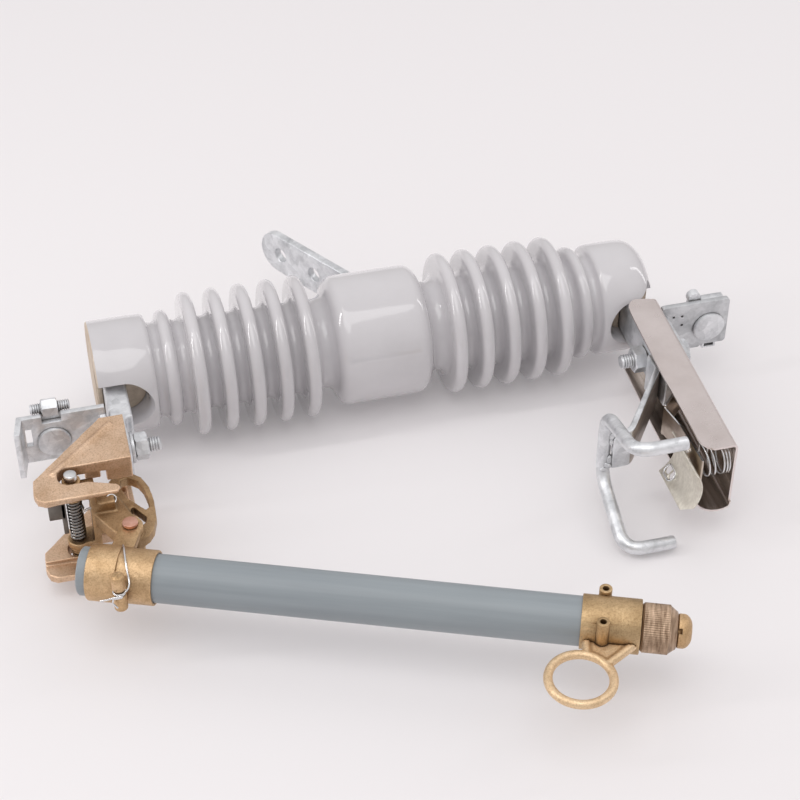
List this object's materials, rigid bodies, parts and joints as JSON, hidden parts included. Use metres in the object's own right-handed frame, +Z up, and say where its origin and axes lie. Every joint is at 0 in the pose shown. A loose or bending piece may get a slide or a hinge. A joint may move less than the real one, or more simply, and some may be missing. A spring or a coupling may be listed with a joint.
{
  "type": "dropout fuse cutout",
  "caption": "Pole-line dropout fuse cutout: ribbed porcelain insulator with a mounting strap, hinge and latch hardware and a swinging fuse tube with a pull ring.",
  "frame": {"origin": "centre of the mounting strap's bolting face, midway between its two holes", "axes": "+X along the insulator from the hinge end to the latch end, +Y to the mounting strap side, +Z up along the hinge axes"},
  "size_m": [0.5012, 0.4913, 0.1],
  "materials": {
    "porcelain": "glossy pale grey glaze with small specks",
    "cement": "matte",
    "galvanised": "galvanised, dull mottled grey",
    "stainless": "satin",
    "cast_bronze": "matte cast",
    "leaf_bronze": "dark satin",
    "copper": "satin copper",
    "silver_plate": "plated, satin",
    "spring_steel": "dark oiled",
    "bright_wire": "bright",
    "tube_grey": "satin blue-grey"
  },
  "bodies": {
    "frame": {"insulator": "porcelain", "lower_cement": "cement", "upper_cement": "cement", "mounting_strap": "galvanised", "lower_strap": "galvanised", "lower_terminal": "galvanised", "lower_terminal_stud": "galvanised", "lower_clamp_bolt": "galvanised", "hinge_casting": "cast_bronze", "hinge_bolt": "galvanised", "upper_strap": "galvanised", "upper_terminal": "galvanised", "upper_terminal_stud": "galvanised", "upper_clamp_bolt": "galvanised", "hood": "stainless", "hood_bolt": "galvanised", "hook_bar": "galvanised", "hook_rod": "galvanised", "cup_contact": "silver_plate", "contact_leaf": "leaf_bronze", "contact_spring": "bright_wire"},
    "trunnion": {"trunnion_shaft": "bright_wire", "trunnion_casting": "cast_bronze", "flipper_spring": "spring_steel", "flipper": "spring_steel", "toggle_pin": "copper"},
    "holder": {"lower_ferrule": "cast_bronze", "link_stud": "cast_bronze", "tie_wire": "bright_wire", "fuse_tube": "tube_grey", "upper_ferrule": "cast_bronze", "pull_ring": "cast_bronze", "fuse_cap": "cast_bronze", "cap_button": "cast_bronze"}
  },
  "joints": [
    {"name": "holder_swing", "type": "hinge", "parent": "frame", "child": "trunnion", "pos_m": [-0.19594, -0.22959, 0], "axis": [0, 0, 1], "range_deg": [-112, 19.5]},
    {"name": "toggle_fold", "type": "hinge", "parent": "trunnion", "child": "holder", "pos_m": [-0.16472, -0.25768, 0], "axis": [0, 0, 1], "range_deg": [-12, 0]}
  ]
}
